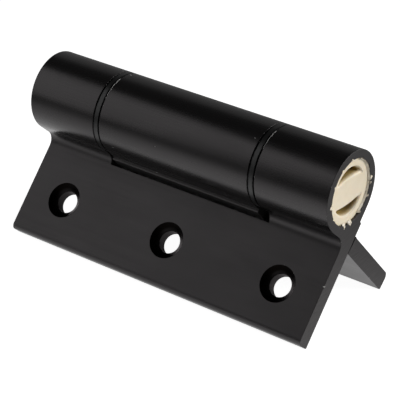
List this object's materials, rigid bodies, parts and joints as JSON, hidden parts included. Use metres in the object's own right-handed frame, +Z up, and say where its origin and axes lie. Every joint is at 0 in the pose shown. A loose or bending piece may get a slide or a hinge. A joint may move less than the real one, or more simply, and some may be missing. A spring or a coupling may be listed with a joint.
{
  "type": "spring hinge",
  "caption": "Surface-mounted spring hinge of black extruded aluminium: leaves with countersunk holes on a barrel of interlocking knuckles, closed by a coil spring inside.",
  "frame": {"origin": "on the floor, below the middle of the barrel", "axes": "+X along the barrel, +Z up, the leaf with the outer knuckles leans towards -Y"},
  "size_m": [0.12, 0.0516, 0.0605],
  "materials": {
    "black_aluminium": "black anodised, satin, with fine lines along the extrusion",
    "cream_plastic": "natural cream, moulded, matt",
    "black_plastic": "black, moulded, matt",
    "pin_steel": "ground",
    "spring_steel": "oiled"
  },
  "bodies": {
    "frame_side": {"frame_leaf": "black_aluminium", "right_end_plug": "cream_plastic", "left_end_plug": "cream_plastic", "right_thrust_washer": "black_plastic", "left_thrust_washer": "black_plastic", "pivot_pin": "pin_steel"},
    "door_side": {"door_leaf": "black_aluminium", "spring_anchor": "cream_plastic", "torsion_spring": "spring_steel"}
  },
  "joints": [
    {"name": "barrel_hinge", "type": "hinge", "parent": "frame_side", "child": "door_side", "pos_m": [0, 0, 0.04648], "axis": [1, 0, 0], "range_deg": [0, 275.49], "stiffness_Nm_per_rad": 0.45, "springref_deg": -28.65, "deforming": ["torsion_spring"]}
  ]
}
